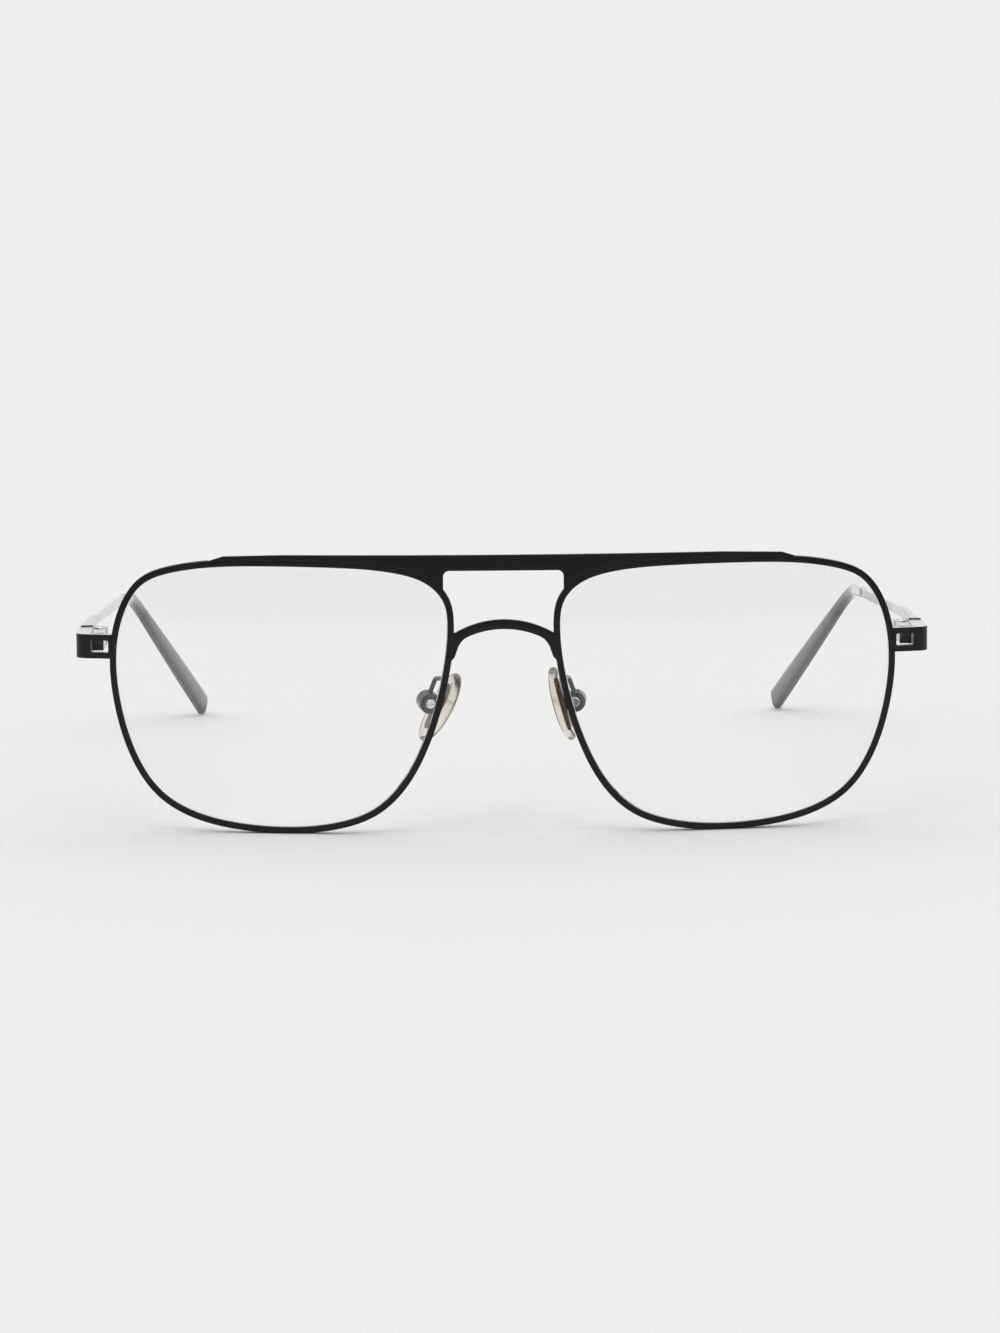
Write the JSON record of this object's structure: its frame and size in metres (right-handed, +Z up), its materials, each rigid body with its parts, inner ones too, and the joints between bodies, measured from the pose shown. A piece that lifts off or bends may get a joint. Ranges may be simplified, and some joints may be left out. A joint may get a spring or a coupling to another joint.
{
  "type": "eyeglasses",
  "caption": "Full-rim metal eyeglass frame with a flat brow bar above an arched nose bridge, windowed end pieces, folding temples, slim curved tips and adjustable nose pads.",
  "frame": {"origin": "On the table that the glasses stand on, under the middle of the unfolded glasses (centre of the bounding box's bottom face).", "axes": "+X to the wearer's left, +Y back along the unfolded temples towards the ears, +Z up. The front faces -Y."},
  "size_m": [0.145, 0.1584, 0.0473],
  "materials": {
    "front_metal": "matte black lacquer",
    "hinge_metal": "satin black lacquer",
    "temple_metal": "satin black lacquer",
    "screw_steel": "dark polished steel",
    "tip_acetate": "polished black acetate",
    "lens_clear": "clear polished demo lens",
    "pad_metal": "polished gunmetal plating",
    "pad_insert": "pale bronze sheet",
    "pad_silicone": "clear soft silicone"
  },
  "bodies": {
    "front": {"brow_bar": "front_metal", "nose_bridge": "front_metal", "left_rim": "front_metal", "left_lens": "lens_clear", "left_end_piece": "front_metal", "left_closing_block_upper": "front_metal", "left_closing_block_lower": "front_metal", "left_closing_screw": "screw_steel", "left_front_hinge": "hinge_metal", "left_hinge_screw": "screw_steel", "left_pad_arm": "pad_metal", "left_pad_box": "pad_metal", "left_pad_screw": "screw_steel", "right_rim": "front_metal", "right_lens": "lens_clear", "right_end_piece": "front_metal", "right_closing_block_upper": "front_metal", "right_closing_block_lower": "front_metal", "right_closing_screw": "screw_steel", "right_front_hinge": "hinge_metal", "right_hinge_screw": "screw_steel", "right_pad_arm": "pad_metal", "right_pad_box": "pad_metal", "right_pad_screw": "screw_steel"},
    "left_temple": {"left_temple": "temple_metal", "left_temple_tip": "tip_acetate", "left_temple_hinge": "hinge_metal"},
    "left_pad": {"left_nose_pad": "pad_silicone", "left_pad_core": "pad_insert"},
    "right_temple": {"right_temple": "temple_metal", "right_temple_tip": "tip_acetate", "right_temple_hinge": "hinge_metal"},
    "right_pad": {"right_nose_pad": "pad_silicone", "right_pad_core": "pad_insert"}
  },
  "joints": [
    {"name": "left_temple_fold", "type": "hinge", "parent": "front", "child": "left_temple", "pos_m": [0.0691, -0.05841, 0.03171], "axis": [0, 0, 1], "range_deg": [0, 88]},
    {"name": "right_temple_fold", "type": "hinge", "parent": "front", "child": "right_temple", "pos_m": [-0.0691, -0.05841, 0.03171], "axis": [0, 0, -1], "range_deg": [0, 84]},
    {"name": "left_pad_rock", "type": "hinge", "parent": "front", "child": "left_pad", "pos_m": [0.0122, -0.07181, 0.02181], "axis": [0.1341, 0.9903, 0.0372], "range_deg": [-8, 8]},
    {"name": "right_pad_rock", "type": "hinge", "parent": "front", "child": "right_pad", "pos_m": [-0.0127, -0.07181, 0.02181], "axis": [-0.2557, 0.9563, 0.1417], "range_deg": [-8, 8]}
  ]
}
